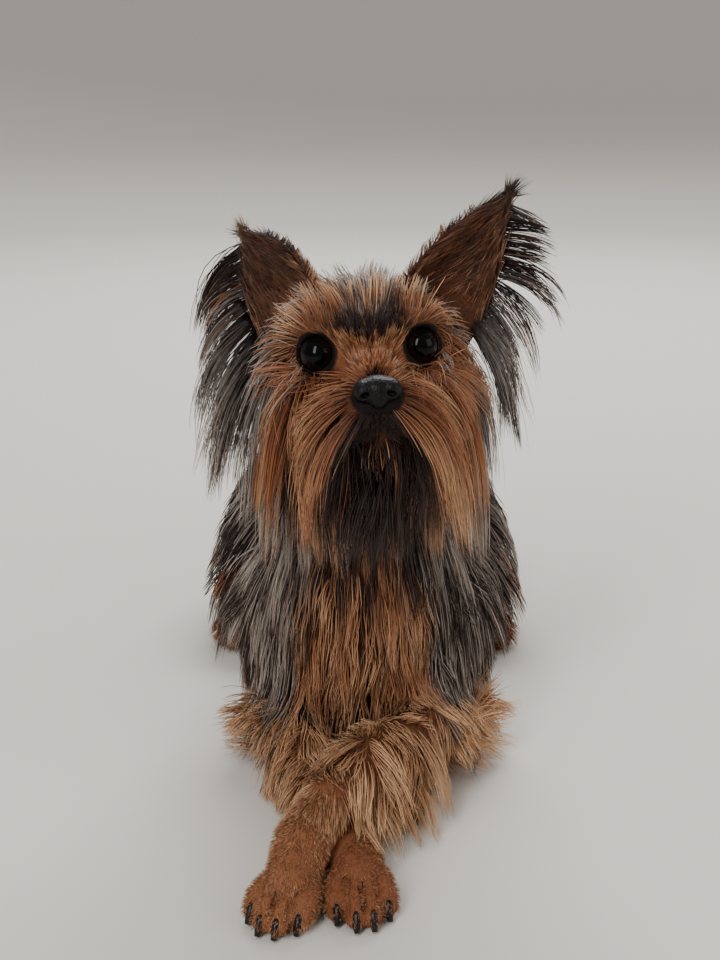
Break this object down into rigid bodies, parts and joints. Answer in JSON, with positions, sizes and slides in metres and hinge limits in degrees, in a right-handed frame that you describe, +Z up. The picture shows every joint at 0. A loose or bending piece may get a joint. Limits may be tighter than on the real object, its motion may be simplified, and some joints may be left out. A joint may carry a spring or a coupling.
{
  "type": "yorkshire terrier",
  "caption": "Toy terrier lying on its chest, head raised, forelegs crossed in front, with a long silky coat, moustache, beard and fringed upright ears.",
  "frame": {"origin": "on the floor, on the flat where the belly rests, under the middle of the trunk", "axes": "+X to the dog's left, -Y the way it faces, +Y to its tail, +Z up"},
  "size_m": [0.1468, 0.3718, 0.2077],
  "materials": {
    "body_coat": "long silky dog hair, steel blue-grey with dark roots",
    "face_coat": "long silky dog hair, tan, darker at the mouth and between the brows",
    "leg_coat": "wavy silky dog hair, tan, short on the paws",
    "ear": "thin skin with short dark brown hair and a long fringe",
    "nose_leather": "pebbled black nose leather, moist",
    "eye": "dark brown, wet and glossy"
  },
  "bodies": {
    "root": {"torso": "body_coat", "neck": "body_coat", "head": "face_coat", "nose": "nose_leather", "eye_left": "eye", "eye_right": "eye", "ear_left": "ear", "ear_right": "ear", "tail": "body_coat", "foreleg_left": "leg_coat", "foreleg_right": "leg_coat", "hindleg_left": "leg_coat", "hindleg_right": "leg_coat"}
  },
  "joints": []
}
